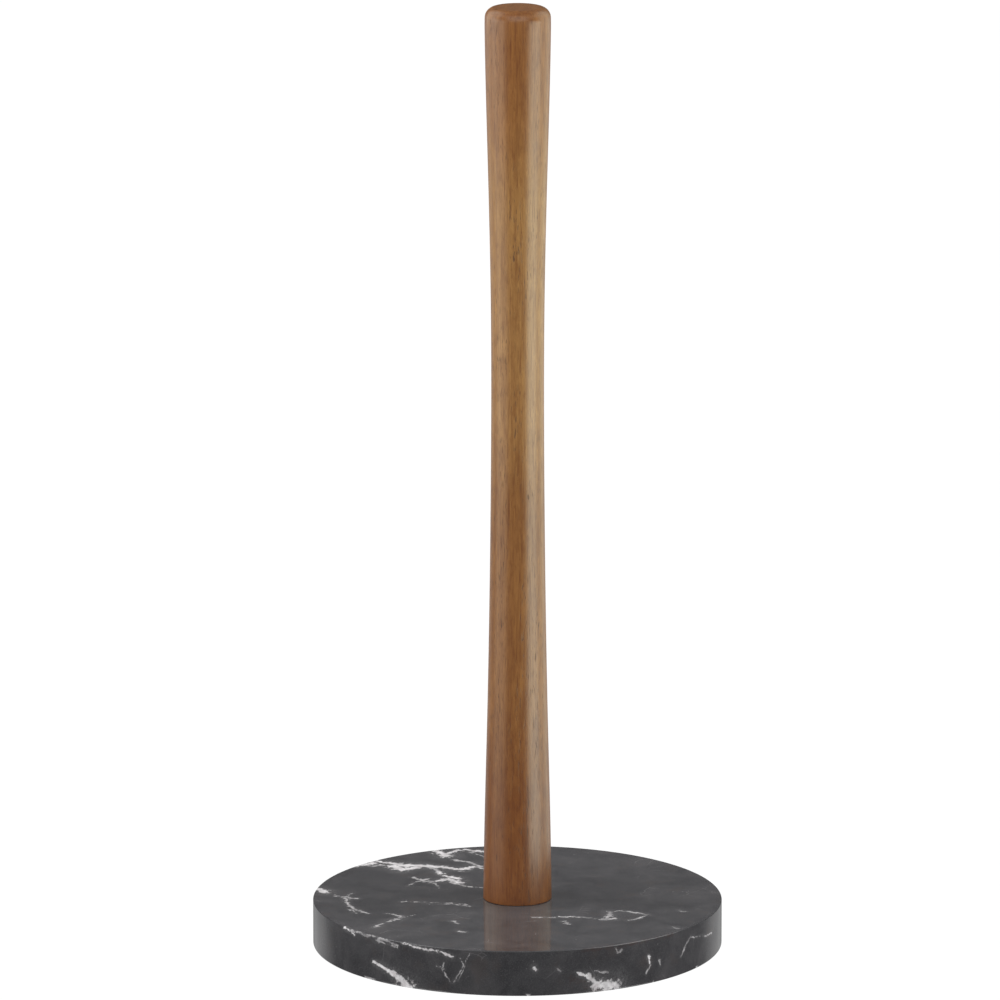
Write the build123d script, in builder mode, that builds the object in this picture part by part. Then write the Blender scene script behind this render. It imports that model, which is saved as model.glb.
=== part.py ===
from build123d import *
import os
from math import atan2, cos, degrees, radians, sin, tan

os.makedirs("parts", exist_ok=True)

# A paper towel holder: a turned wooden post on a polished stone disc. A screw comes up through the
# disc from below and draws the post down by a brass insert in its foot.
# Millimetres, +Z up. The origin is on the post's axis, in the plane that the feet stand on.

# Overall
overall_height = 355.6
foot_height = 2.0
slab_thickness = 17.0
z_slab_bottom = foot_height
z_slab_top = z_slab_bottom + slab_thickness
post_height = overall_height - z_slab_top

# Stone slab, with a pocket underneath for the head and washers
slab_diameter = 152.4
slab_top_round = 0.4
slab_bottom_round = 0.6
pocket_diameter = 24.0
pocket_depth = 10.0
pocket_chamfer = 0.5
screw_hole_diameter = 8.0
z_pocket_top = z_slab_bottom + pocket_depth

# Turned post: (radius, height above the slab) from the foot up, with the waist a little over half way
post_outline = [
    (12.75, 0.0),
    (12.3, 28.0),
    (11.05, 79.0),
    (10.2, 130.0),
    (9.75, 187.0),
    (9.9, 226.0),
    (10.55, 261.0),
    (11.7, 305.0),
    (12.15, 328.0),
    (12.1, post_height),
]
post_top_round = 4.0
post_foot_round = 0.35
drill_point_angle = 118.0

# M6 x 20 screw with a socket head, partly threaded
screw_length = 20.0
screw_pitch = 1.0
screw_crest_radius = 2.95
screw_root_radius = 2.42
screw_shank_radius = 2.9
screw_shank_length = 6.0
thread_turns = 13
thread_crest_flat = 0.14
thread_flank_lean = 30.0
flank_steps = 6
pilot_radius = 2.25
pilot_chamfer = 0.3
head_diameter = 10.0
head_height = 6.0
head_round = 0.6
socket_across_flats = 5.0
socket_depth = 3.0

# Washers on the screw
flat_washer_diameter = 18.0
flat_washer_bore = 6.4
flat_washer_thickness = 1.6
flat_washer_chamfer = 0.25
spring_washer_diameter = 11.8
spring_washer_bore = 6.1
spring_washer_thickness = 1.6
spring_washer_gap = 0.8
spring_washer_cut_angle = 20.0
z_flat_washer = z_pocket_top - flat_washer_thickness
z_spring_washer = z_flat_washer - spring_washer_thickness
z_screw_tip = z_spring_washer + screw_length

# Brass insert in the post's foot: its flange lies flush with the wood and its barbs bite into it
insert_length = 13.0
insert_radius = 4.5
insert_bore_radius = 3.02
insert_bore_chamfer = 0.5
barb_height = 0.3
barb_pitch = 2.4
barb_count = 4
first_barb_at = 3.2
flange_radius = 7.0
flange_thickness = 1.2
room_over_insert = 6.0

# Rubber feet, stuck to the slab
foot_count = 4
foot_diameter = 12.7
foot_tread_diameter = 10.4
foot_round = 0.4
foot_circle_radius = 60.0


def save(piece, name):
    """Labels a finished piece and writes it to its own file."""
    piece.label = name
    export_step(piece, f"parts/{name}.step")


def bottom_rim(part):
    """The edges of the lowest flat face."""
    return part.faces().filter_by(GeomType.PLANE).sort_by(Axis.Z)[0].edges()


def top_rim(part):
    """The edges of the highest flat face."""
    return part.faces().filter_by(GeomType.PLANE).sort_by(Axis.Z)[-1].edges()


# Slab: a disc with softened rims, bored for the screw and pocketed from below
with BuildPart() as base_slab:
    with BuildSketch(Plane.XY.offset(z_slab_bottom)):
        Circle(slab_diameter / 2)
    extrude(amount=slab_thickness)
    fillet(top_rim(base_slab), slab_top_round)
    fillet(bottom_rim(base_slab), slab_bottom_round)
    with BuildSketch(Plane.XY.offset(z_slab_bottom)):
        Circle(screw_hole_diameter / 2)
    extrude(amount=slab_thickness, mode=Mode.SUBTRACT)
    with BuildSketch(Plane.XY.offset(z_slab_bottom)):
        Circle(pocket_diameter / 2)
    extrude(amount=pocket_depth, mode=Mode.SUBTRACT)
    pocket_mouth = bottom_rim(base_slab).sort_by(SortBy.RADIUS)[0]
    chamfer(pocket_mouth, pocket_chamfer)
save(base_slab.part, "base_slab")


# Post: turned from one outline, then drilled from below for the insert
with BuildPart() as pole:
    with BuildSketch(Plane.XZ):
        with BuildLine():
            side = Spline(*[(radius, z_slab_top + height) for radius, height in post_outline])
            Polyline(side @ 1, (0, overall_height), (0, z_slab_top), side @ 0)
        make_face()
    revolve(axis=Axis.Z)
    fillet(top_rim(pole), post_top_round)
    fillet(bottom_rim(pole), post_foot_round)
    bore_end = z_slab_top + insert_length + room_over_insert
    drill_point = insert_radius / tan(radians(drill_point_angle / 2))
    with BuildSketch(Plane.XZ):
        with BuildLine():
            Polyline(
                (0, z_slab_top),
                (flange_radius, z_slab_top),
                (flange_radius, z_slab_top + flange_thickness),
                (insert_radius, z_slab_top + flange_thickness),
                (insert_radius, bore_end),
                (0, bore_end + drill_point),
                close=True,
            )
        make_face()
    revolve(axis=Axis.Z, mode=Mode.SUBTRACT)
save(pole.part, "pole")


# Insert: a flanged sleeve with rings of barbs that lean back towards the flange
with BuildPart() as threaded_insert:
    with BuildSketch(Plane.XY.offset(z_slab_top)):
        Circle(insert_radius)
    extrude(amount=insert_length)
    with BuildSketch(Plane.XY.offset(z_slab_top)):
        Circle(flange_radius)
    extrude(amount=flange_thickness)
    with BuildSketch(Plane.XZ):
        for number in range(barb_count):
            z_barb = z_slab_top + first_barb_at + number * barb_pitch
            with BuildLine():
                Polyline(
                    (insert_radius - barb_height, z_barb),
                    (insert_radius + barb_height, z_barb),
                    (insert_radius - barb_height, z_barb + barb_pitch - barb_height),
                    close=True,
                )
            make_face()
    revolve(axis=Axis.Z)
    with BuildSketch(Plane.XY.offset(z_slab_top)):
        Circle(insert_bore_radius)
    extrude(amount=insert_length, mode=Mode.SUBTRACT)
    for rim in (bottom_rim(threaded_insert), top_rim(threaded_insert)):
        chamfer(rim.sort_by(SortBy.RADIUS)[0], insert_bore_chamfer)
save(threaded_insert.part, "threaded_insert")


def flank(from_radius, to_radius, from_angle):
    """Points across a thread flank as a level cut shows it: a spiral, drawn anticlockwise."""
    slope = (to_radius - from_radius) / flank_angle_span
    steps = [flank_angle_span * step / flank_steps for step in range(flank_steps + 1)]
    return [
        (
            (from_radius + slope * step) * cos(radians(from_angle + step)),
            (from_radius + slope * step) * sin(radians(from_angle + step)),
        )
        for step in steps
    ]


# Screw: socket head, plain shank, thread and a short pilot point. The thread's level cut is one cam
# shape: crest arc, flank spiral, root arc, flank spiral. Twisted once round while it rises by one
# pitch, the cut sweeps out one turn of right-hand thread, and the turns stack.
crest_half_angle = 180 * thread_crest_flat / screw_pitch
flank_rise = (screw_crest_radius - screw_root_radius) * tan(radians(thread_flank_lean))
flank_angle_span = 360 * flank_rise / screw_pitch
root_angle = crest_half_angle + flank_angle_span
z_thread = z_spring_washer + screw_shank_length
z_pilot = z_thread + thread_turns * screw_pitch
with BuildPart() as fixing_screw:
    with BuildSketch(Plane.XY.offset(z_spring_washer - head_height)):
        Circle(head_diameter / 2)
    extrude(amount=head_height)
    fillet(bottom_rim(fixing_screw), head_round)
    with BuildSketch(Plane.XY.offset(z_spring_washer - head_height)):
        RegularPolygon(socket_across_flats / 2, 6, major_radius=False)
    extrude(amount=socket_depth, mode=Mode.SUBTRACT)
    with BuildSketch(Plane.XY.offset(z_spring_washer)):
        Circle(screw_shank_radius)
    extrude(amount=screw_shank_length)
    for turn in range(thread_turns):
        z_turn = z_thread + turn * screw_pitch
        with BuildSketch(Plane.XY.offset(z_turn)):
            with BuildLine():
                CenterArc((0, 0), screw_crest_radius, -crest_half_angle, 2 * crest_half_angle)
                Spline(*flank(screw_crest_radius, screw_root_radius, crest_half_angle))
                CenterArc((0, 0), screw_root_radius, root_angle, 360 - 2 * root_angle)
                Spline(*flank(screw_root_radius, screw_crest_radius, -root_angle))
            make_face()
        with BuildLine() as rise:
            Line((0, 0, z_turn), (0, 0, z_turn + screw_pitch))
        with BuildLine() as twist:
            Helix(screw_pitch, screw_pitch, screw_crest_radius, center=(0, 0, z_turn))
        sweep(path=rise.line, binormal=twist.line.edge())
    with BuildSketch(Plane.XY.offset(z_pilot)):
        Circle(pilot_radius)
    extrude(amount=z_screw_tip - z_pilot)
    chamfer(top_rim(fixing_screw), pilot_chamfer)
save(fixing_screw.part, "fixing_screw")


# Wide washer that spreads the screw's load on the stone
with BuildPart() as flat_washer:
    with BuildSketch(Plane.XY.offset(z_flat_washer)):
        Circle(flat_washer_diameter / 2)
        Circle(flat_washer_bore / 2, mode=Mode.SUBTRACT)
    extrude(amount=flat_washer_thickness)
    chamfer(bottom_rim(flat_washer).sort_by(SortBy.RADIUS)[-1], flat_washer_chamfer)
save(flat_washer.part, "flat_washer")


# Split washer, squeezed flat as it is when the screw is tight, with a slanting cut
with BuildPart() as spring_washer:
    with BuildSketch(Plane.XY.offset(z_spring_washer)):
        Circle(spring_washer_diameter / 2)
        Circle(spring_washer_bore / 2, mode=Mode.SUBTRACT)
    extrude(amount=spring_washer_thickness)
    lean = spring_washer_thickness * tan(radians(spring_washer_cut_angle))
    with BuildSketch(Plane.YZ):
        with BuildLine():
            Polyline(
                (0, z_spring_washer),
                (spring_washer_gap, z_spring_washer),
                (spring_washer_gap + lean, z_flat_washer),
                (lean, z_flat_washer),
                close=True,
            )
        make_face()
    extrude(amount=spring_washer_diameter, mode=Mode.SUBTRACT)
save(spring_washer.part, "spring_washer")


# Feet: tapered discs, evenly spaced on the diagonals
foot_taper = degrees(atan2((foot_diameter - foot_tread_diameter) / 2, foot_height))
for number in range(foot_count):
    bearing = radians((number + 0.5) * 360 / foot_count)
    centre = (foot_circle_radius * cos(bearing), foot_circle_radius * sin(bearing), foot_height)
    with BuildPart() as foot:
        with BuildSketch(Plane(origin=centre, z_dir=(0, 0, -1))):
            Circle(foot_diameter / 2)
        extrude(amount=foot_height, taper=foot_taper)
        fillet(bottom_rim(foot), foot_round)
    save(foot.part, f"foot_{number + 1}")
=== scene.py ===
import math

import bmesh
import bpy
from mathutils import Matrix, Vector

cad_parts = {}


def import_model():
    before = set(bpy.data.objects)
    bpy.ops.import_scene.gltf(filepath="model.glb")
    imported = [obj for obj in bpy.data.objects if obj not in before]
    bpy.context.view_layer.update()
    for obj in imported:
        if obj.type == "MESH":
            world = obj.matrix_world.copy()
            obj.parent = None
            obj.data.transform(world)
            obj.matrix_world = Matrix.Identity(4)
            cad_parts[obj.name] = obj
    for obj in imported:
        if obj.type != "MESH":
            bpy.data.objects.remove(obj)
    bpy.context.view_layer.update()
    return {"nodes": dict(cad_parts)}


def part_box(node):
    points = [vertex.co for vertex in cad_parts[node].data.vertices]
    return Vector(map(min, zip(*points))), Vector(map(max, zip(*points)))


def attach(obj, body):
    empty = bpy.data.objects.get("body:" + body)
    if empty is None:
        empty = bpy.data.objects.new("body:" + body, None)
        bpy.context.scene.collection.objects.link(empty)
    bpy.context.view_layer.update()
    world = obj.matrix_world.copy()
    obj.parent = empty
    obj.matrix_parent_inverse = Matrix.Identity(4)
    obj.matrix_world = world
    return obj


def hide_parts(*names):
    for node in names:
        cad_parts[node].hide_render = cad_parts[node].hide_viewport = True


# A paper towel holder: turned wooden post on a polished black marble disc. Lengths are metres, in the
# CAD model's frame. Patterns in materials are laid out in millimetres of the same frame.

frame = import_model()

MM = 0.001
slab_low, slab_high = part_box("base_slab")
pole_low, pole_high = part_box("pole")
SLAB_RADIUS = (slab_high.x - slab_low.x) / 2
SLAB_TOP = slab_high.z
SLAB_BOTTOM = slab_low.z
POLE_TOP = pole_high.z
FEET = ["foot_1", "foot_2", "foot_3", "foot_4"]

# Sharper edges than this, in degrees, stay sharp on a turned form
SHARP_EDGE = 30


# ---------------------------------------------------------------- turned forms

def arc(centre, radius, start, end, steps=8):
    """Points (radius, height) on an arc, from one angle to another in degrees."""
    angles = [math.radians(start + (end - start) * step / steps) for step in range(steps + 1)]
    return [(centre[0] + radius * math.cos(a), centre[1] + radius * math.sin(a)) for a in angles]


def through(points, steps=14):
    """A smooth curve through points (radius, height), with the slope at each taken from its
    neighbours."""
    slopes = []
    for number in range(len(points)):
        before, after = points[max(number - 1, 0)], points[min(number + 1, len(points) - 1)]
        slopes.append((after[0] - before[0]) / (after[1] - before[1]))
    curve = []
    for number in range(len(points) - 1):
        (r0, z0), (r1, z1) = points[number], points[number + 1]
        rise = z1 - z0
        for step in range(steps):
            t = step / steps
            ends = r0 * (2 * t**3 - 3 * t**2 + 1) + r1 * (3 * t**2 - 2 * t**3)
            lean = slopes[number] * (t**3 - 2 * t**2 + t) + slopes[number + 1] * (t**3 - t**2)
            curve.append((ends + lean * rise, z0 + rise * t))
    return curve + [points[-1]]


def turned(name, outline, closed, body, stands_for, sides=192):
    """A form turned about the post's axis from an outline of (radius, height) in millimetres. A closed
    outline joins its last point to its first; an open one starts and ends on the axis."""
    mesh = bmesh.new()
    rings = []
    for radius, height in outline:
        if radius == 0.0:
            rings.append([mesh.verts.new((0, 0, height * MM))])
            continue
        ring = []
        for side in range(sides):
            angle = 2 * math.pi * side / sides
            spot = (radius * MM * math.cos(angle), radius * MM * math.sin(angle), height * MM)
            ring.append(mesh.verts.new(spot))
        rings.append(ring)
    pairs = list(zip(rings, rings[1:])) + ([(rings[-1], rings[0])] if closed else [])
    for low, high in pairs:
        for side in range(sides):
            after = (side + 1) % sides
            corners = [low[side % len(low)], low[after % len(low)]]
            corners += [high[after % len(high)], high[side % len(high)]]
            mesh.faces.new(list(dict.fromkeys(corners)))
    bmesh.ops.recalc_face_normals(mesh, faces=mesh.faces)
    data = bpy.data.meshes.new(name)
    mesh.to_mesh(data)
    mesh.free()
    data.shade_smooth()
    data.set_sharp_from_angle(angle=math.radians(SHARP_EDGE))
    made = bpy.data.objects.new(name, data)
    bpy.context.scene.collection.objects.link(made)
    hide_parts(stands_for)
    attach(made, body)
    return made


def make_slab():
    """The stone disc, with its screw hole and the pocket under it."""
    top, bottom, edge = SLAB_TOP / MM, SLAB_BOTTOM / MM, SLAB_RADIUS / MM
    hole, pocket, pocket_roof, chamfer = 4.0, 12.0, bottom + 10.0, 0.5
    top_round, bottom_round = 0.4, 0.6
    halfway, near_edge = 30.0, edge - 2.0
    outline = [(hole, top), (halfway, top), (near_edge, top)]
    outline += arc((edge - top_round, top - top_round), top_round, 90, 0)
    outline += arc((edge - bottom_round, bottom + bottom_round), bottom_round, 0, -90)
    outline += [(near_edge, bottom), (halfway, bottom), (pocket + chamfer, bottom)]
    outline += [(pocket, bottom + chamfer), (pocket, pocket_roof), (hole, pocket_roof)]
    return turned("marble_slab", outline, True, "base", "base_slab")


def make_post():
    """The turned post, with the bore for its insert."""
    foot, top = pole_low.z / MM, POLE_TOP / MM
    heights = (28, 79, 130, 187, 226, 261, 305, 328)
    radii = (12.3, 11.05, 10.2, 9.75, 9.9, 10.55, 11.7, 12.15)
    side = [(12.75, foot)]
    side += [(radius, foot + height) for radius, height in zip(radii, heights)]
    side += [(12.1, top)]
    top_round, foot_round = 4.0, 0.35
    radius_over_foot_round, radius_under_top_round = 12.74, 12.13
    side = [spot for spot in through(side) if foot + foot_round < spot[1] < top - top_round]
    flange, flange_depth, bore, bore_depth = 7.0, 1.2, 4.5, 19.0
    drill_half_angle = 59
    drill_point = bore / math.tan(math.radians(drill_half_angle))
    inner_ring = 4.0
    outline = [(0.0, foot + bore_depth + drill_point), (bore, foot + bore_depth)]
    outline += [(bore, foot + flange_depth), (flange, foot + flange_depth), (flange, foot)]
    outline += arc((radius_over_foot_round - foot_round, foot + foot_round), foot_round, -90, 0)
    outline += side
    outline += arc((radius_under_top_round - top_round, top - top_round), top_round, 0, 90, 14)
    outline += [(inner_ring, top), (0.0, top)]
    return turned("wooden_post", outline, False, "post", "pole")


# ---------------------------------------------------------------- node graphs

class Graph:
    """Adds nodes to one node tree and links them. A value is a socket, a number or a tuple."""

    def __init__(self, tree):
        self.tree = tree

    def node(self, kind, **settings):
        made = self.tree.nodes.new(kind)
        for name, value in settings.items():
            setattr(made, name, value)
        return made

    def feed(self, socket, value):
        if isinstance(value, bpy.types.NodeSocket):
            self.tree.links.new(value, socket)
        elif value is not None:
            socket.default_value = value

    def math(self, operation, *values, clamp=False):
        made = self.node("ShaderNodeMath", operation=operation, use_clamp=clamp)
        for socket, value in zip(made.inputs, values):
            self.feed(socket, value)
        return made.outputs[0]

    def vector(self, operation, *values, scale=None):
        made = self.node("ShaderNodeVectorMath", operation=operation)
        for socket, value in zip(made.inputs, values):
            self.feed(socket, value)
        if scale is not None:
            self.feed(made.inputs["Scale"], scale)
        scalar = operation in ("DOT_PRODUCT", "LENGTH", "DISTANCE")
        return made.outputs["Value" if scalar else "Vector"]

    def noise(self, position, scale, detail=2.0, roughness=0.5, distortion=0.0, colour=False):
        made = self.node("ShaderNodeTexNoise")
        self.feed(made.inputs["Vector"], position)
        self.feed(made.inputs["Scale"], scale)
        self.feed(made.inputs["Detail"], detail)
        self.feed(made.inputs["Roughness"], roughness)
        self.feed(made.inputs["Distortion"], distortion)
        return made.outputs["Color" if colour else "Fac"]

    def cells(self, position, scale):
        """The distance to the nearest wall between irregular cells."""
        made = self.node("ShaderNodeTexVoronoi", feature="DISTANCE_TO_EDGE")
        self.feed(made.inputs["Vector"], position)
        self.feed(made.inputs["Scale"], scale)
        return made.outputs["Distance"]

    def fade(self, value, start, end, low=0.0, high=1.0):
        """low where value is at start, high where it is at end, with a smooth step between."""
        made = self.node("ShaderNodeMapRange", interpolation_type="SMOOTHSTEP")
        for socket, number in zip(made.inputs, (value, start, end, low, high)):
            self.feed(socket, number)
        return made.outputs[0]

    def ramp(self, value, stops):
        """A colour that runs through stops, a list of (position, colour)."""
        made = self.node("ShaderNodeValToRGB")
        elements = made.color_ramp.elements
        while len(elements) < len(stops):
            elements.new(0.5)
        for element, (position, colour) in zip(elements, stops):
            element.position = position
            element.color = (*colour, 1.0)
        self.feed(made.inputs[0], value)
        return made.outputs[0]

    def mix(self, amount, first, second, blend="MIX"):
        made = self.node("ShaderNodeMix", data_type="RGBA", blend_type=blend)
        self.feed(made.inputs[0], amount)
        for socket, value in ((made.inputs[6], first), (made.inputs[7], second)):
            self.feed(socket, (*value, 1.0) if isinstance(value, tuple) else value)
        return made.outputs[2]

    def bump(self, height, distance, strength):
        made = self.node("ShaderNodeBump")
        self.feed(made.inputs["Strength"], strength)
        self.feed(made.inputs["Distance"], distance)
        self.feed(made.inputs["Height"], height)
        return made.outputs["Normal"]

    def place_in_mm(self):
        """The point's place in the model's frame, in millimetres."""
        place = self.node("ShaderNodeTexCoord").outputs["Object"]
        return self.vector("SCALE", place, scale=1 / MM)


def material(name):
    """An empty material with one Principled shader, and the graph to build it with."""
    made = bpy.data.materials.new(name)
    made.use_nodes = True
    graph = Graph(made.node_tree)
    shader = made.node_tree.nodes["Principled BSDF"]
    return made, graph, shader


def dress(thing, finish):
    """Gives every slot of an object the same material."""
    if not thing.data.materials:
        thing.data.materials.append(finish)
    for slot in thing.material_slots:
        slot.material = finish


# ---------------------------------------------------------------- marble

# Veins, in millimetres. Each is (half width at its start, half width at its end, its points). On the
# top face a point is (x, y). On the wall it is (x, height over the top face), on the near side.
TOP_BRIGHT = [
    (1.3, 1.9, [(-61, 46), (-57, 48), (-54, 50)]),
    (1.0, 2.6, [(-53, 53), (-47, 50), (-42, 45)]),
    (2.6, 1.6, [(-47, 46), (-43, 40), (-38, 43)]),
    (2.2, 1.6, [(-41, 47), (-35, 46), (-29, 44), (-21, 41), (-17, 44)]),
    (1.6, 2.6, [(-31, 68), (-28, 64), (-27, 61)]),
    (1.4, 1.2, [(-27, 64), (-24, 67), (-22, 69)]),
    (1.2, 1.6, [(-20, 70), (-17, 68), (-12, 66)]),
    (1.1, 1.5, [(-29, 37), (-27, 30), (-22, 28)]),
    (1.2, 2.0, [(-30, 24), (-26, 27), (-22, 22)]),
    (1.3, 1.9, [(-76, 14), (-74, 11), (-72, 8)]),
]
TOP_FINE = [
    (0.8, 0.9, [(-61, 49), (-55, 45), (-51, 47)]),
    (0.9, 0.8, [(-25, 55), (-18, 51), (-12, 40)]),
    (0.7, 0.5, [(-18, 66), (-12, 58)]),
    (0.8, 1.0, [(-35, 45), (-31, 41), (-29, 37)]),
    (0.9, 1.0, [(-39, 29), (-35, 23), (-30, 24)]),
    (1.0, 0.6, [(-24, 21), (-20, 16), (-12, 14)]),
    (0.5, 0.9, [(-41, 16), (-38, 23), (-34, 27)]),
    (0.8, 0.4, [(-33, 23), (-29, 14)]),
    (0.5, 0.4, [(-72, 8), (-68, 4)]),
    (0.5, 0.9, [(-68, 2), (-64, 0), (-60, -2)]),
    (0.8, 0.5, [(-64, 0), (-62, 6)]),
    (1.0, 0.6, [(-64, -1), (-63, -11), (-59, -20), (-56, -23)]),
    (0.5, 0.3, [(-62, -17), (-60, -23)]),
    (0.7, 0.5, [(-42, -6), (-32, -7), (-19, -10)]),
    (0.4, 0.7, [(-35, -9), (-26, -10), (-18, -12)]),
    (1.1, 0.7, [(-52, -42), (-50, -36), (-46, -33)]),
    (0.7, 1.1, [(-46, -33), (-42, -28)]),
    (0.9, 0.5, [(-42, -28), (-45, -24), (-49, -23)]),
    (0.5, 0.3, [(-42, -28), (-38, -25)]),
    (1.1, 0.5, [(-23, -34), (-22, -37)]),
    (0.9, 0.9, [(-21, -48), (-20, -49)]),
    (0.6, 0.6, [(6, -29), (16, -28), (20, -28)]),
    (0.7, 0.5, [(20, -28), (26, -29), (33, -32)]),
    (1.1, 1.1, [(34, -20), (35, -26), (32, -31), (36, -30)]),
    (0.5, 0.9, [(35, -20), (39, -19), (44, -22), (48, -25)]),
    (0.5, 0.8, [(48, -25), (45, -30), (41, -32)]),
    (1.0, 0.6, [(17, -34), (19, -38)]),
    (0.7, 0.5, [(60, -18), (61, -20), (63, -20)]),
    (0.9, 0.8, [(58, -42), (59, -43)]),
]
WALL_BRIGHT = [
    (0.5, 1.1, [(-53, -10.0), (-49, -11.0), (-45, -13.0)]),
    (1.3, 2.4, [(-45, -13.0), (-42, -15.0), (-40, -17.0)]),
    (0.5, 1.3, [(22, -9.0), (26, -11.0), (29, -13.5)]),
    (1.8, 2.2, [(29, -14.0), (32, -14.8), (36, -15.5)]),
    (0.5, 0.4, [(-64, -0.2), (-62, -0.7), (-60, -1.5)]),
    (0.4, 0.5, [(-42, -0.3), (-37, -1.0), (-35, -1.3)]),
    (0.5, 0.5, [(-35, -1.3), (-28, -1.6), (-24, -3.0)]),
    (0.6, 0.5, [(6, -6.3), (6.5, -7.2)]),
    (0.5, 0.4, [(48, -6.6), (48.6, -9.2)]),
]
WALL_FINE = [
    (0.4, 0.5, [(-62, -0.4), (-56, -0.5), (-48, -0.6), (-44, -1.6)]),
    (0.5, 0.3, [(-52, -1.3), (-48, -1.8), (-44, -2.4)]),
    (0.25, 0.25, [(-27, -5.5), (-27.5, -8.0), (-26, -10.5), (-24, -12.8)]),
    (0.4, 0.3, [(-27, -8.0), (-29.5, -7.0)]),
    (0.3, 0.2, [(-21, -3.5), (-20, -5.5), (-20.5, -7.5)]),
    (0.2, 0.3, [(-20.5, -7.5), (-22, -10.0), (-23.5, -12.8)]),
    (0.16, 0.16, [(-17.5, -1.0), (-19, -4.0), (-20, -8.0), (-22, -12.0)]),
    (0.4, 0.3, [(52, -8.8), (52.5, -11.0)]),
    (0.35, 0.3, [(64, -3.5), (62, -6.0), (60, -10.0)]),
    (0.3, 0.4, [(64, -4.0), (70, -6.5), (72, -7.0)]),
    (0.4, 0.4, [(36, -1.2), (36.5, -3.0), (38, -2.4)]),
    (0.5, 0.4, [(15, -7.3), (15.6, -8.0)]),
    (0.3, 0.25, [(49, -10.0), (47, -13.0)]),
    (0.4, 0.3, [(28, -9.2), (33, -10.0)]),
]
# A brown vein low on the near wall. The second stroke, a thin brown line just under the top rim, is a
# painted reflection of the rim, not a vein.
WALL_BROWN_VEIN_AND_RIM_REFLECTION = [
    (1.5, 1.3, [(20, -11.0), (26, -14.0), (30, -16.5)]),
    (0.9, 0.8, [(24, -0.8), (42, -0.6), (57, -0.5)]),
]


# In half widths of a vein: where no vein has been met yet, and how far its haze reaches
FAR_FROM_A_VEIN = 9.0
HAZE_REACH = 4.0
HAZE_STRENGTH = 0.2
NEXT_TO_NOTHING = 1e-9


def on_top(point):
    """A point of a vein on the top face, in space."""
    return Vector((point[0], point[1], SLAB_TOP / MM))


def on_wall(point):
    """A point of a vein on the near side of the wall, in space."""
    radius = SLAB_RADIUS / MM
    return Vector((point[0], -math.sqrt(radius * radius - point[0] ** 2), SLAB_TOP / MM + point[1]))


def stroke_group():
    """A node group that gives the distance to one vein segment over its half width there, or the
    nearest so far if that is less."""
    group = bpy.data.node_groups.new("vein_segment", "ShaderNodeTree")
    face = group.interface
    for name, kind in (
        ("Place", "NodeSocketVector"),
        ("Start", "NodeSocketVector"),
        ("Run", "NodeSocketVector"),
        ("RunOverSquare", "NodeSocketVector"),
        ("HalfWidth", "NodeSocketFloat"),
        ("Growth", "NodeSocketFloat"),
        ("Nearest", "NodeSocketFloat"),
    ):
        face.new_socket(name, in_out="INPUT", socket_type=kind)
    face.new_socket("Nearest", in_out="OUTPUT", socket_type="NodeSocketFloat")
    graph = Graph(group)
    given = graph.node("NodeGroupInput").outputs
    away = graph.vector("SUBTRACT", given["Place"], given["Start"])
    along = graph.math("ADD", graph.vector("DOT_PRODUCT", away, given["RunOverSquare"]), 0.0, clamp=True)
    foot = graph.vector("SCALE", given["Run"], scale=along)
    apart = graph.vector("DISTANCE", away, foot)
    width = graph.math("MULTIPLY_ADD", along, given["Growth"], given["HalfWidth"])
    nearest = graph.math("MINIMUM", graph.math("DIVIDE", apart, width), given["Nearest"])
    graph.feed(graph.node("NodeGroupOutput").inputs[0], nearest)
    return group


def strokes(graph, group, place, veins, to_space):
    """The distance from place to the nearest of these veins, in half widths, and place for the next
    use. Cycles holds few values at once and works out whatever it can, so each vein's place is made
    to wait for the vein before it by adding next to nothing of that one's result."""
    nearest = FAR_FROM_A_VEIN
    for start_width, end_width, points in veins:
        runs = len(points) - 1
        for number in range(runs):
            start, end = to_space(points[number]), to_space(points[number + 1])
            width = start_width + (end_width - start_width) * number / runs
            run = end - start
            node = graph.node("ShaderNodeGroup", node_tree=group)
            graph.feed(node.inputs["Place"], place)
            graph.feed(node.inputs["Start"], tuple(start))
            graph.feed(node.inputs["Run"], tuple(run))
            graph.feed(node.inputs["RunOverSquare"], tuple(run / run.length_squared))
            graph.feed(node.inputs["HalfWidth"], width)
            graph.feed(node.inputs["Growth"], (end_width - start_width) / runs)
            graph.feed(node.inputs["Nearest"], nearest)
            nearest = node.outputs[0]
        place = graph.vector("MULTIPLY_ADD", nearest, (NEXT_TO_NOTHING, 0.0, 0.0), place)
    return nearest, place


def shaken(graph, place, sizes):
    """place moved about by noise. sizes is a list of (lumps per mm, how far in mm, detail)."""
    for scale, reach, detail in sizes:
        lumps = graph.noise(place, scale, detail, colour=True)
        shift = graph.vector("SUBTRACT", lumps, (0.5, 0.5, 0.5))
        place = graph.vector("ADD", place, graph.vector("SCALE", shift, scale=2 * reach))
    return place


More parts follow.
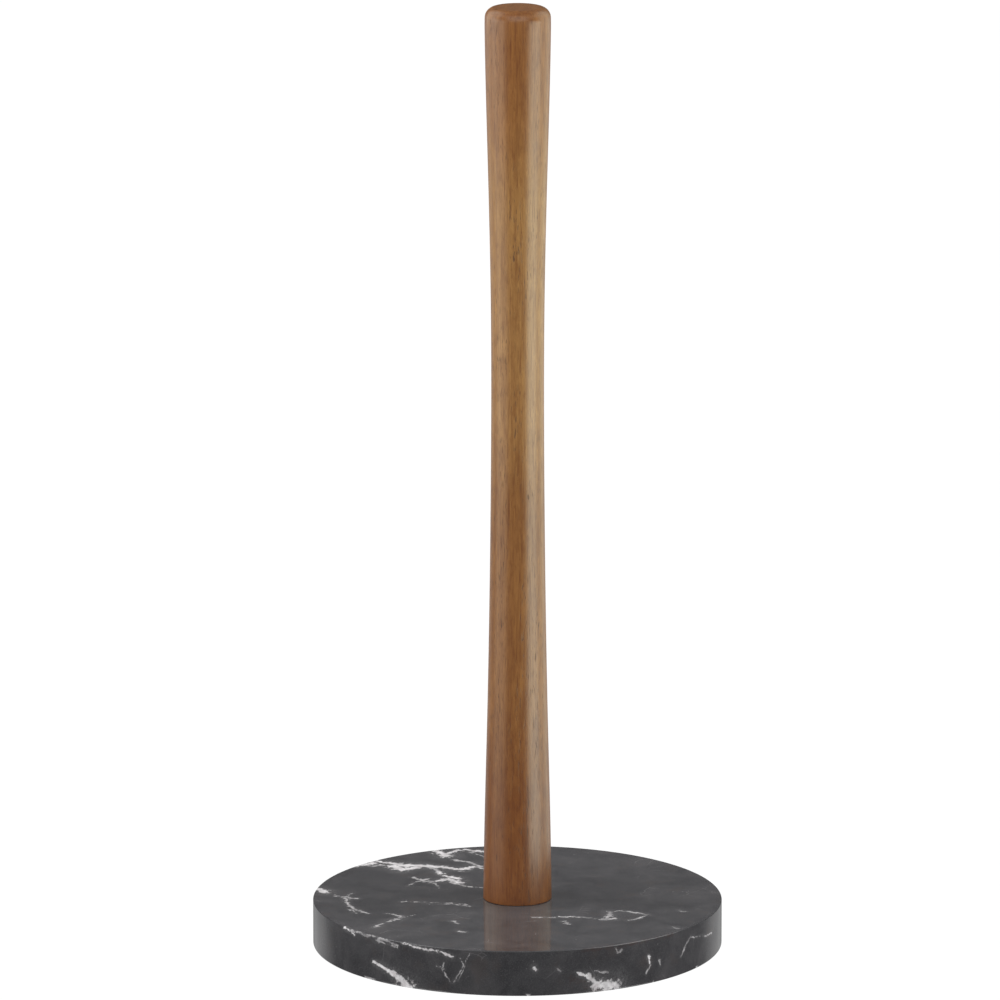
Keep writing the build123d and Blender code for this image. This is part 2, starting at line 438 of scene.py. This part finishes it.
def marble():
    """Polished black marble: clouded near-black stone with white calcite veins. The veins of the top and
    of the wall's near side are drawn, and those everywhere else are patterns."""
    made, graph, shader = material("marble_black_polished")
    group = stroke_group()
    place = graph.place_in_mm()
    split = graph.node("ShaderNodeSeparateXYZ")
    graph.feed(split.inputs[0], place)
    y, z = split.outputs[1], split.outputs[2]

    # how ragged and how broken a vein is
    torn = graph.noise(place, 1.5, 4.0, 0.7)
    ragged = graph.fade(graph.noise(place, 0.6, 3.0, 0.6), 0.3, 0.7, 0.6, 1.7)
    breaks = graph.noise(place, 0.28, 3.0, 0.6)
    loose = shaken(graph, place, [(0.1, 2.0, 2.0), (0.42, 1.2, 2.0), (1.5, 0.5, 2.0)])
    tight = shaken(graph, place, [(0.22, 0.8, 2.0), (0.8, 0.5, 2.0), (2.6, 0.2, 1.0)])

    def painted(near, opacity, weakest):
        """Solid along the middle of a vein, torn at its edges and fading in places to weakest."""
        tear = 1.6
        edge = graph.math("MULTIPLY_ADD", torn, tear, -0.5 * tear)
        reach = graph.math("MULTIPLY_ADD", near, ragged, edge)
        strength = graph.fade(breaks, 0.36, 0.62, weakest * opacity, opacity)
        return graph.math("MULTIPLY", graph.fade(reach, 1.3, 0.45), strength)

    # each set of veins with its opacity, where it is whole and where it is weakest
    drawn, haze = 0.0, 0.0
    places = {on_top: loose, on_wall: tight}
    for veins, face, opacity, weakest in (
        (TOP_BRIGHT, on_top, 1.0, 0.75),
        (TOP_FINE, on_top, 0.66, 0.35),
        (WALL_BRIGHT, on_wall, 1.0, 0.8),
        (WALL_FINE, on_wall, 0.55, 0.35),
    ):
        near, places[face] = strokes(graph, group, places[face], veins, face)
        drawn = graph.math("MAXIMUM", painted(near, opacity, weakest), drawn)
        halo = graph.fade(near, HAZE_REACH, 0.5, 0.0, HAZE_STRENGTH * opacity)
        haze = graph.math("MAXIMUM", halo, haze)
    haze = graph.math("MULTIPLY", haze, graph.fade(torn, 0.3, 0.7))
    # the brown vein on the wall, and the painted reflection of the rim as a thin brown line just under
    # the top edge
    near_brown_vein_and_rim_reflection, _ = strokes(graph, group, places[on_wall], WALL_BROWN_VEIN_AND_RIM_REFLECTION, on_wall)
    brown_vein_and_rim_reflection = painted(near_brown_vein_and_rim_reflection, 0.45, 0.3)

    # veins that run through the rest of the stone, from the far wall and the underside
    slow = shaken(graph, place, [(0.03, 9.0, 3.0), (0.2, 1.6, 3.0)])
    sheet = graph.cells(graph.vector("MULTIPLY", slow, (1.0, 1.0, 0.8)), 0.03)
    thickness = graph.fade(graph.noise(place, 0.05, 2.0), 0.48, 0.72, 0.002, 0.03)
    seam = graph.math("DIVIDE", sheet, graph.math("MULTIPLY", thickness, ragged))
    seam = graph.fade(seam, 1.3, 0.3)
    gaps = graph.fade(graph.noise(place, 0.045, 2.0, 0.5), 0.5, 0.62)
    seam = graph.math("MULTIPLY", seam, gaps)
    top, bottom = SLAB_TOP / MM, SLAB_BOTTOM / MM
    below_top = graph.fade(z, top - 0.4, top - 2.5)
    far_side = graph.fade(y, -4.0, 22.0)
    underside = graph.fade(z, bottom + 1.2, bottom + 0.2)
    elsewhere = graph.math("MULTIPLY", below_top, graph.math("MAXIMUM", far_side, underside))
    seam = graph.math("MULTIPLY", graph.math("MULTIPLY", seam, elsewhere), 0.85)

    # hairlines and flecks, faint, everywhere
    hair_place = shaken(graph, place, [(0.09, 4.0, 3.0)])
    hair = graph.fade(graph.cells(hair_place, 0.11), 0.02, 0.0)
    hair_where = graph.fade(graph.noise(place, 0.07, 3.0), 0.52, 0.7, 0.0, 0.16)
    hair = graph.math("MULTIPLY", hair, hair_where)
    fleck_noise = graph.noise(place, 0.9, 2.0, 0.6)
    fleck_where = graph.fade(graph.noise(place, 0.06, 2.0), 0.45, 0.65, 0.0, 0.34)
    fleck = graph.math("MULTIPLY", graph.fade(fleck_noise, 0.68, 0.78), fleck_where)

    # clouded ground
    cloud = graph.noise(place, 0.07, 6.0, 0.6, 0.6)
    ground = graph.ramp(cloud, [
        (0.3, (0.040, 0.0395, 0.043)),
        (0.5, (0.062, 0.061, 0.065)),
        (0.68, (0.085, 0.082, 0.086)),
    ])
    speckle = graph.noise(place, 2.4, 3.0, 0.7)
    ground = graph.mix(graph.fade(speckle, 0.45, 0.7, 0.0, 0.6), ground, (0.11, 0.106, 0.11))
    warm = graph.fade(graph.noise(place, 0.11, 3.0), 0.55, 0.72, 0.0, 0.3)
    ground = graph.mix(warm, ground, (0.09, 0.072, 0.066))
    # the brown vein and the painted rim reflection under the top edge, mixed into the ground
    ground = graph.mix(brown_vein_and_rim_reflection, ground, (0.075, 0.048, 0.042))

    faint = graph.math("MAXIMUM", graph.math("MAXIMUM", hair, fleck), haze)
    colour = graph.mix(faint, ground, (0.5, 0.49, 0.49))
    all_white = graph.math("MAXIMUM", drawn, seam)
    calcite = graph.ramp(graph.noise(place, 0.5, 3.0), [
        (0.3, (0.72, 0.68, 0.69)),
        (0.6, (0.97, 0.95, 0.96)),
    ])
    colour = graph.mix(all_white, colour, calcite)
    graph.feed(shader.inputs["Base Color"], colour)

    # the polish is a touch duller on the veins and where it has been handled
    smear = graph.noise(place, 0.05, 4.0, 0.6)
    gloss = graph.fade(smear, 0.35, 0.7, 0.045, 0.085)
    gloss = graph.math("MULTIPLY_ADD", all_white, 0.07, gloss)
    graph.feed(shader.inputs["Roughness"], gloss)
    pits = graph.fade(graph.noise(place, 3.0, 2.0, 0.6), 0.3, 0.22)
    relief = graph.math("MULTIPLY_ADD", pits, -1.0, graph.math("MULTIPLY", smear, 0.5))
    graph.feed(shader.inputs["Normal"], graph.bump(relief, 0.00002, 0.35))
    shader.inputs["IOR"].default_value = 1.5
    return made


# ---------------------------------------------------------------- wood

def wood():
    """Oiled acacia: long vertical grain, growth rings off centre, short dark pores, satin finish."""
    made, graph, shader = material("wood_acacia_satin")
    place = graph.place_in_mm()
    split = graph.node("ShaderNodeSeparateXYZ")
    graph.feed(split.inputs[0], place)
    height = split.outputs[2]

    # growth rings about a pith that lies outside the post and leans a little
    lean = graph.vector("MULTIPLY", place, (1.0, 1.0, 0.014))
    pith_away, ring_width = (-34.0, 27.0, 0.0), 3.1
    wander = graph.vector("MULTIPLY", place, (0.06, 0.06, 0.008))
    wander = graph.noise(wander, 1.0, 2.0, colour=True)
    wander = graph.vector("SCALE", graph.vector("SUBTRACT", wander, (0.5, 0.5, 0.5)), scale=7.0)
    ring_place = graph.vector("ADD", graph.vector("ADD", lean, wander), pith_away)
    ring_place = graph.vector("MULTIPLY", ring_place, (1.0, 1.0, 0.0))
    tilt = graph.math("MULTIPLY", height, 0.012)
    radius = graph.math("ADD", graph.vector("LENGTH", ring_place), tilt)
    ring = graph.math("FRACT", graph.math("DIVIDE", radius, ring_width))
    late_wood = graph.math("POWER", ring, 3.0)

    # fibres and pores, stretched along the post
    broad = graph.noise(graph.vector("MULTIPLY", place, (0.38, 0.38, 0.024)), 1.0, 4.0, 0.6)
    fine = graph.noise(graph.vector("MULTIPLY", place, (1.7, 1.7, 0.075)), 1.0, 4.0, 0.65)
    hair = graph.noise(graph.vector("MULTIPLY", place, (4.2, 4.2, 0.3)), 1.0, 3.0, 0.65)
    mottle = graph.noise(graph.vector("MULTIPLY", place, (0.34, 0.34, 0.13)), 1.0, 3.0, 0.6)
    pore_place = graph.vector("MULTIPLY", place, (2.6, 2.6, 0.26))
    pore = graph.noise(shaken(graph, pore_place, [(0.4, 0.5, 2.0)]), 1.0, 1.0, 0.4)
    pore_where = graph.noise(graph.vector("MULTIPLY", place, (0.22, 0.22, 0.016)), 1.0, 2.0)
    pore = graph.fade(pore, 0.64, 0.71)
    pore = graph.math("MULTIPLY", pore, graph.fade(pore_where, 0.38, 0.62, 0.15, 1.0))

    # the stick is darker and redder at the foot and near the top than about the middle
    share = graph.math("DIVIDE", height, POLE_TOP / MM, clamp=True)
    share = graph.math("ADD", share, graph.math("MULTIPLY_ADD", broad, 0.12, -0.06))
    body = graph.ramp(share, [
        (0.08, (0.26, 0.088, 0.022)),
        (0.17, (0.26, 0.088, 0.022)),
        (0.28, (0.355, 0.143, 0.040)),
        (0.47, (0.355, 0.145, 0.040)),
        (0.56, (0.45, 0.210, 0.066)),
        (0.80, (0.48, 0.230, 0.071)),
        (0.88, (0.40, 0.164, 0.044)),
        (0.95, (0.36, 0.136, 0.034)),
    ])
    dark = graph.mix(1.0, body, (0.60, 0.47, 0.38), "MULTIPLY")
    light = graph.mix(1.0, body, (1.28, 1.36, 1.45), "MULTIPLY")
    colour = graph.mix(graph.fade(broad, 0.52, 0.70, 0.0, 0.45), body, light)
    colour = graph.mix(graph.fade(broad, 0.48, 0.30, 0.0, 0.5), colour, dark)
    colour = graph.mix(graph.math("MULTIPLY", late_wood, 0.3), colour, dark)
    colour = graph.mix(graph.fade(mottle, 0.48, 0.30, 0.0, 0.5), colour, dark)
    colour = graph.mix(graph.fade(mottle, 0.52, 0.70, 0.0, 0.5), colour, light)
    colour = graph.mix(graph.fade(fine, 0.47, 0.30, 0.0, 0.85), colour, dark)
    colour = graph.mix(graph.fade(fine, 0.53, 0.70, 0.0, 0.7), colour, light)
    colour = graph.mix(graph.fade(hair, 0.46, 0.28, 0.0, 0.75), colour, dark)
    colour = graph.mix(graph.math("MULTIPLY", pore, 0.7), colour, (0.08, 0.035, 0.015))
    graph.feed(shader.inputs["Base Color"], colour)

    sheen = graph.fade(fine, 0.3, 0.7, 0.37, 0.30)
    sheen = graph.math("MULTIPLY_ADD", pore, 0.25, sheen)
    graph.feed(shader.inputs["Roughness"], sheen)
    groove = graph.math("MULTIPLY_ADD", fine, 0.35, graph.math("MULTIPLY", hair, 0.3))
    groove = graph.math("SUBTRACT", groove, pore)
    uneven = graph.bump(groove, 0.00006, 0.5)
    graph.feed(shader.inputs["Normal"], uneven)
    shader.inputs["IOR"].default_value = 1.7
    return made


# ---------------------------------------------------------------- metals and rubber

def turned_metal(name, colour, roughness, tarnish):
    """Metal with faint turning marks round the screw's axis and a little staining."""
    rougher_where_stained = 0.16
    made, graph, shader = material(name)
    place = graph.place_in_mm()
    marks = graph.noise(graph.vector("MULTIPLY", place, (0.4, 0.4, 9.0)), 1.0, 3.0, 0.6)
    stain = graph.noise(place, 0.5, 4.0, 0.6)
    shade = graph.mix(graph.fade(stain, 0.45, 0.7, 0.0, 0.6), colour, tarnish)
    shade = graph.mix(graph.fade(marks, 0.4, 0.7, 0.0, 0.25), shade, tarnish)
    graph.feed(shader.inputs["Base Color"], shade)
    worn = graph.fade(stain, 0.3, 0.7, roughness, roughness + rougher_where_stained)
    graph.feed(shader.inputs["Roughness"], worn)
    graph.feed(shader.inputs["Normal"], graph.bump(marks, 0.00002, 0.4))
    shader.inputs["Metallic"].default_value = 1.0
    return made


def rubber():
    """Soft black rubber with a moulded matt skin, greyed by dust."""
    made, graph, shader = material("rubber_black")
    place = graph.place_in_mm()
    skin = graph.noise(place, 5.0, 4.0, 0.7)
    dust = graph.noise(place, 0.6, 4.0, 0.6)
    black, grey = (0.018, 0.018, 0.019), (0.07, 0.068, 0.064)
    colour = graph.mix(graph.fade(dust, 0.45, 0.75, 0.0, 0.5), black, grey)
    graph.feed(shader.inputs["Base Color"], colour)
    graph.feed(shader.inputs["Roughness"], graph.fade(skin, 0.3, 0.7, 0.62, 0.82))
    graph.feed(shader.inputs["Normal"], graph.bump(skin, 0.00004, 0.5))
    return made


nodes = frame["nodes"]
slab, post = make_slab(), make_post()
dress(slab, marble())
dress(post, wood())
brass = turned_metal("brass", (0.78, 0.57, 0.27), 0.28, (0.45, 0.3, 0.13))
dress(nodes["threaded_insert"], brass)
oxide = turned_metal("steel_black_oxide", (0.1, 0.1, 0.105), 0.36, (0.045, 0.043, 0.042))
dress(nodes["fixing_screw"], oxide)
zinc = turned_metal("steel_zinc", (0.62, 0.63, 0.65), 0.3, (0.42, 0.42, 0.42))
dress(nodes["flat_washer"], zinc)
dress(nodes["spring_washer"], zinc)
rubber_finish = rubber()
for name in FEET:
    dress(nodes[name], rubber_finish)


# ---------------------------------------------------------------- studio

def floor():
    """A pale floor, nearly evenly lit, that only the camera sees: the object's own light comes from the
    panels and the studio round it, from below as well."""
    mesh = bpy.data.meshes.new("studio_floor")
    reach = 30.0
    corners = [(-reach, -reach, 0), (reach, -reach, 0), (reach, reach, 0), (-reach, reach, 0)]
    mesh.from_pydata(corners, [], [(0, 1, 2, 3)])
    plane = bpy.data.objects.new("studio_floor", mesh)
    bpy.context.scene.collection.objects.link(plane)
    made = bpy.data.materials.new("studio_floor")
    made.use_nodes = True
    tree = made.node_tree
    tree.nodes.clear()
    graph = Graph(tree)
    matt = graph.node("ShaderNodeBsdfDiffuse")
    matt.inputs["Color"].default_value = (0.85, 0.85, 0.85, 1.0)
    glow = graph.node("ShaderNodeEmission")
    glow.inputs["Color"].default_value = (1.0, 1.0, 1.0, 1.0)
    glow.inputs["Strength"].default_value = 1.12
    even = graph.node("ShaderNodeMixShader")
    even.inputs[0].default_value = 0.9
    graph.feed(even.inputs[1], matt.outputs[0])
    graph.feed(even.inputs[2], glow.outputs[0])
    clear = graph.node("ShaderNodeBsdfTransparent")
    below = graph.node("ShaderNodeNewGeometry").outputs["Backfacing"]
    sided = graph.node("ShaderNodeMixShader")
    graph.feed(sided.inputs[0], below)
    graph.feed(sided.inputs[1], even.outputs[0])
    graph.feed(sided.inputs[2], clear.outputs[0])
    graph.feed(graph.node("ShaderNodeOutputMaterial").inputs[0], sided.outputs[0])
    mesh.materials.append(made)
    plane.visible_diffuse = False
    plane.visible_glossy = False
    plane.visible_shadow = False


def lit_together(name, things):
    """A collection of pieces for a light to shine on alone."""
    made = bpy.data.collections.new(name)
    for thing in things:
        made.objects.link(thing)
    return made


def panel(name, place, aim, width, height, strength, only=None, tint=(1.0, 1.0, 1.0)):
    """A soft rectangular light that the camera doesn't see, on everything or on one collection of
    pieces. strength is its radiance."""
    light = bpy.data.lights.new(name, "AREA")
    light.shape = "RECTANGLE"
    light.size, light.size_y = width, height
    light.energy = strength * math.pi * width * height
    light.color = tint
    lamp = bpy.data.objects.new(name, light)
    lamp.location = place
    lamp.rotation_euler = (Vector(aim) - Vector(place)).to_track_quat("-Z", "Y").to_euler()
    lamp.visible_camera = False
    if only is not None:
        lamp.light_linking.receiver_collection = only
    bpy.context.scene.collection.objects.link(lamp)


def world():
    """A dim studio round the object. The camera sees a pale wall instead."""
    made = bpy.data.worlds.new("studio")
    bpy.context.scene.world = made
    made.use_nodes = True
    tree = made.node_tree
    tree.nodes.clear()
    graph = Graph(tree)
    up = graph.node("ShaderNodeSeparateXYZ")
    graph.feed(up.inputs[0], graph.node("ShaderNodeTexCoord").outputs["Generated"])
    dim = graph.ramp(graph.math("MULTIPLY_ADD", up.outputs[2], 0.5, 0.5), [
        (0.35, (0.10, 0.10, 0.10)),
        (0.58, (0.12, 0.12, 0.122)),
        (0.75, (0.16, 0.16, 0.16)),
        (1.0, (0.22, 0.22, 0.22)),
    ])
    # brighter low down behind the object, but less so dead behind it
    behind = graph.fade(up.outputs[1], 0.5, 0.8)
    low_behind = graph.math("MULTIPLY", behind, graph.fade(up.outputs[2], 0.0, -0.1))
    not_dead_behind = graph.fade(up.outputs[1], 0.99, 0.9, 0.2, 1.0)
    low_behind = graph.math("MULTIPLY", low_behind, not_dead_behind)
    dim = graph.mix(low_behind, dim, (0.5, 0.5, 0.5))
    ray = graph.node("ShaderNodeLightPath").outputs["Is Camera Ray"]
    seen = graph.node("ShaderNodeBackground")
    graph.feed(seen.inputs["Color"], graph.mix(ray, dim, (0.95, 0.95, 0.95)))
    seen.inputs["Strength"].default_value = 1.0
    graph.feed(graph.node("ShaderNodeOutputWorld").inputs[0], seen.outputs[0])


def camera():
    """A long lens, a little left of the post, looking down on the slab by 12.7 degrees."""
    distance = 3.5
    across = -0.0065
    height_over_slab = 0.939
    downward = 0.2212  # radians
    lens = bpy.data.cameras.new("camera")
    lens.sensor_width = 36.0
    lens.lens = 349.5
    eye = bpy.data.objects.new("camera", lens)
    eye.location = (across, -distance, SLAB_TOP + height_over_slab)
    eye.rotation_euler = (math.pi / 2 - downward, 0.0, 0.0)
    bpy.context.scene.collection.objects.link(eye)
    bpy.context.scene.camera = eye


floor()
wooden = lit_together("lit_with_the_post", [post, nodes["threaded_insert"]])
others = ["fixing_screw", "flat_washer", "spring_washer"] + FEET
stony = lit_together("lit_with_the_slab", [slab] + [nodes[name] for name in others])
# "front" lights everything, and the others the post alone or the stone alone. Each panel has its
# place, the spot it is aimed at, its width, its height and its radiance
warm = (0.98, 1.0, 0.88)
beige = (0.87, 1.0, 0.88)
panel("front", (0.0, -1.9, 1.7), (0.0, 0.0, 0.15), 3.2, 2.6, 0.68)
panel("post_front", (0.0, -1.9, 1.7), (0.0, 0.0, 0.15), 1.6, 1.0, 2.6, wooden)
panel("post_strip_right", (1.34, -0.68, -0.15), (0.0, 0.0, 0.2), 1.2, 1.0, 3.0, wooden, beige)
panel("post_strip_left", (-1.43, -0.46, 0.25), (0.0, 0.0, 0.2), 1.5, 1.0, 1.4, wooden, warm)
panel("post_back_right", (1.2, 0.5, 0.5), (0.0, 0.0, 0.2), 1.6, 2.3, 1.15, wooden, beige)
panel("post_back_left", (-1.2, 0.5, 0.85), (0.0, 0.0, 0.25), 1.6, 2.0, 1.4, wooden, warm)
# the polished top mirrors what stands low on its far side, so the slab's lights are well above it,
# and two more, below it, light its wall: seen from above, the wall mirrors what is low
panel("slab_high_left", (-1.2, -0.1, 1.35), (0.0, 0.0, 0.0), 1.6, 1.2, 3.5, stony)
panel("slab_high_right", (1.2, -0.1, 1.35), (0.0, 0.0, 0.0), 1.6, 1.2, 3.8, stony)
panel("slab_low_left", (-1.0, -0.5, -0.85), (0.0, 0.0, 0.0), 1.0, 0.6, 3.8, stony)
panel("slab_low_right", (1.0, -0.5, -0.85), (0.0, 0.0, 0.0), 1.0, 0.6, 3.8, stony)
world()
camera()
bpy.context.scene.view_settings.view_transform = "Standard"
